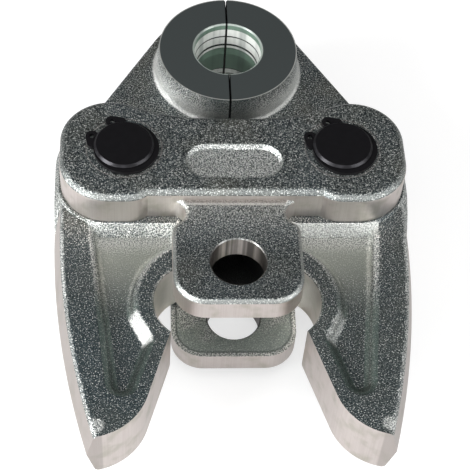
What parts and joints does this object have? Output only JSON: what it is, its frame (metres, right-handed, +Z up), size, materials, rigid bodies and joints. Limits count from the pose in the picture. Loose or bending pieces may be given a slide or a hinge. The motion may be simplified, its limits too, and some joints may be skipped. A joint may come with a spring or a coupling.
{
  "type": "press fitting tool jaw",
  "caption": "Hinged jaw for a pipe press machine: forged halves close a round press bore, turning on two pins between link plates with ears for the machine pin.",
  "frame": {"origin": "centre of the machine's pin bore, on the mid-plane between the two link plates", "axes": "+Z along the machine pin bore, up as the jaw lies flat; +Y towards the press bore; +X to the right seen from the machine end with +Z up"},
  "size_m": [0.0958, 0.145, 0.0422],
  "materials": {
    "forged_zinc_steel": "forged, shot blasted and zinc plated, with machined trim faces",
    "black_oxide_steel": "hardened, black oxide, satin",
    "spring_steel": "drawn spring wire, lightly oiled"
  },
  "bodies": {
    "link_frame": {"upper_plate": "forged_zinc_steel", "lower_plate": "forged_zinc_steel", "left_pivot_pin": "black_oxide_steel", "right_pivot_pin": "black_oxide_steel", "left_upper_ring": "black_oxide_steel", "left_lower_ring": "black_oxide_steel", "right_upper_ring": "black_oxide_steel", "right_lower_ring": "black_oxide_steel", "closing_spring": "spring_steel"},
    "left_half": {"left_jaw": "forged_zinc_steel"},
    "right_half": {"right_jaw": "forged_zinc_steel"}
  },
  "joints": [
    {"name": "left_pivot", "type": "hinge", "parent": "link_frame", "child": "left_half", "pos_m": [-0.0292, 0.035, 0], "axis": [0, 0, 1], "range_deg": [0, 12], "stiffness_Nm_per_rad": 0.6, "springref_deg": -34.38, "deforming": ["closing_spring"]},
    {"name": "right_pivot", "type": "hinge", "parent": "link_frame", "child": "right_half", "pos_m": [0.0292, 0.035, 0], "axis": [0, 0, -1], "range_deg": [0, 12], "stiffness_Nm_per_rad": 0.6, "springref_deg": -34.38, "deforming": ["closing_spring"]}
  ]
}
